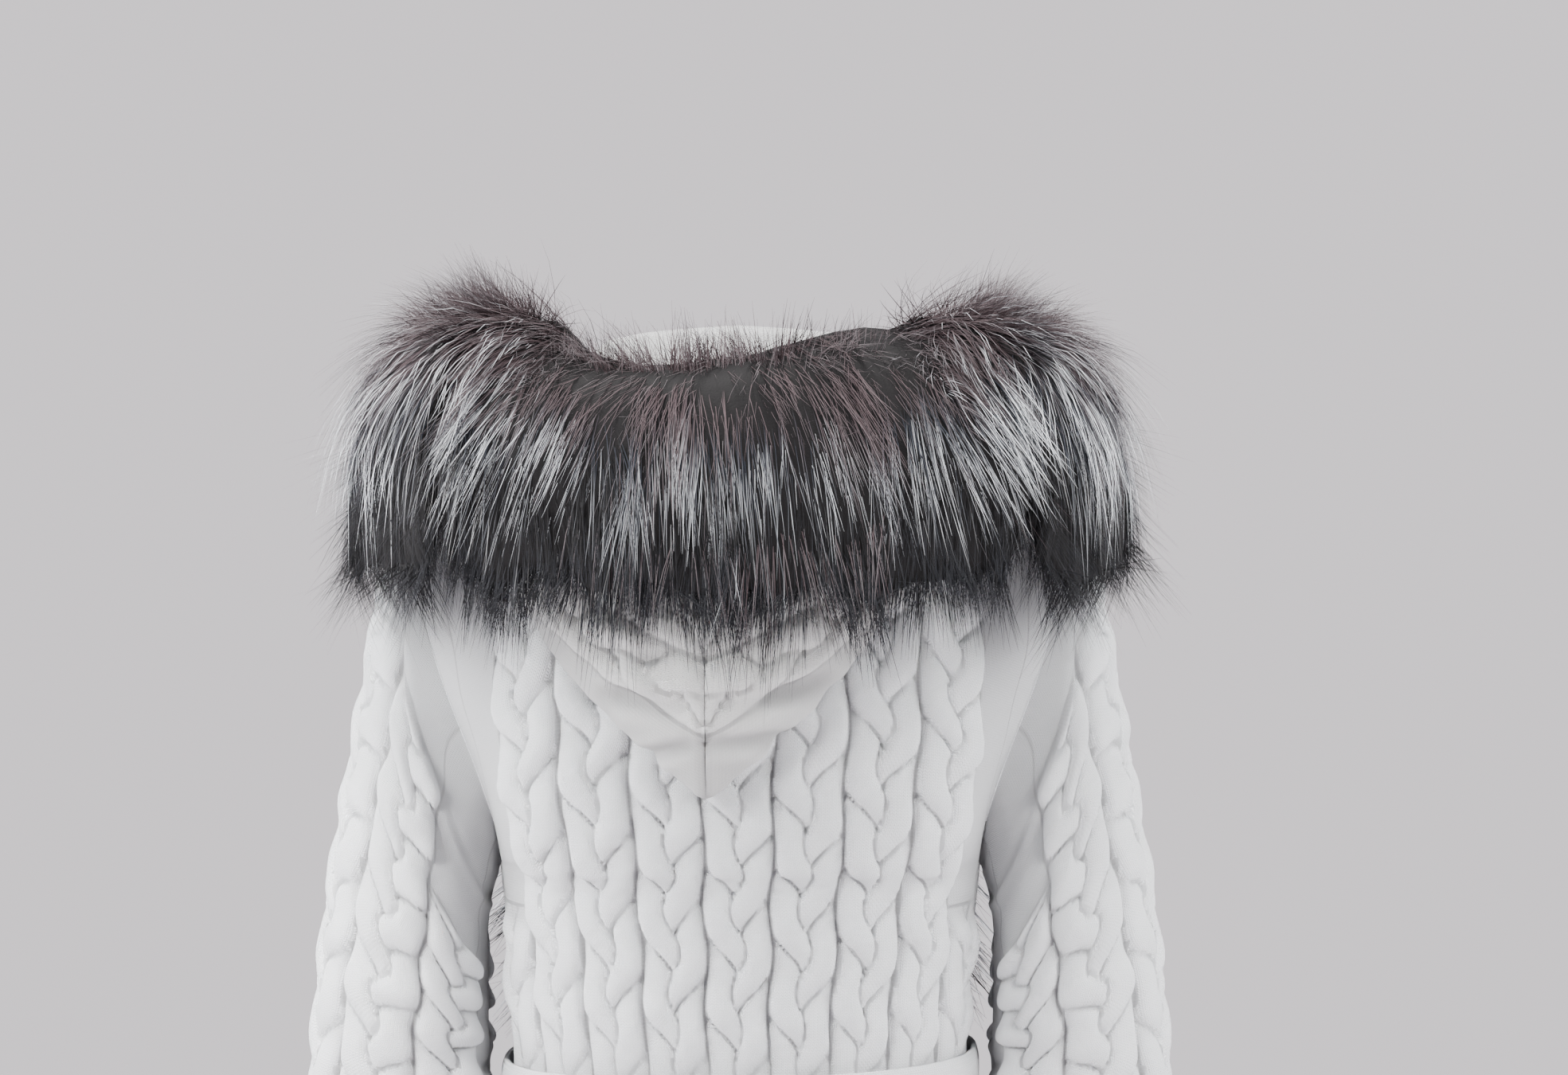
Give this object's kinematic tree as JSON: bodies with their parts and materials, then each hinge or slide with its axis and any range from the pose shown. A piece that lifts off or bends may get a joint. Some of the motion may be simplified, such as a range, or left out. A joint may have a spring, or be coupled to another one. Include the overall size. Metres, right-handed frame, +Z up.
{
  "type": "fur cardigan",
  "caption": "Hooded cardigan in plaited cable knit, worn and empty, with a long-haired fur ruff on the folded-down hood, fur front bands and a tie belt.",
  "frame": {"origin": "base of the neck, on the centre line, where the wearer holds the garment up", "axes": "+Z up along the back, the front faces -Y, the wearer's left is +X"},
  "size_m": [0.543, 0.4122, 0.8836],
  "materials": {
    "knit": "soft white knit with a light fuzz",
    "hood_knit": "soft off-white knit with a light fuzz",
    "belt_knit": "plain white knit",
    "fur": "long silver-grey hair over dark underfur"
  },
  "bodies": {
    "root": {"back": "knit", "front_left": "knit", "front_right": "knit", "sleeve_left": "knit", "sleeve_right": "knit", "hood_left": "hood_knit", "hood_right": "hood_knit", "belt": "belt_knit", "belt_knot": "belt_knit", "belt_tail_left": "belt_knit", "belt_tail_right": "belt_knit", "fur_hood_left": "fur", "fur_hood_centre": "fur", "fur_hood_right": "fur", "fur_front_left": "fur", "fur_front_right": "fur"}
  },
  "joints": []
}
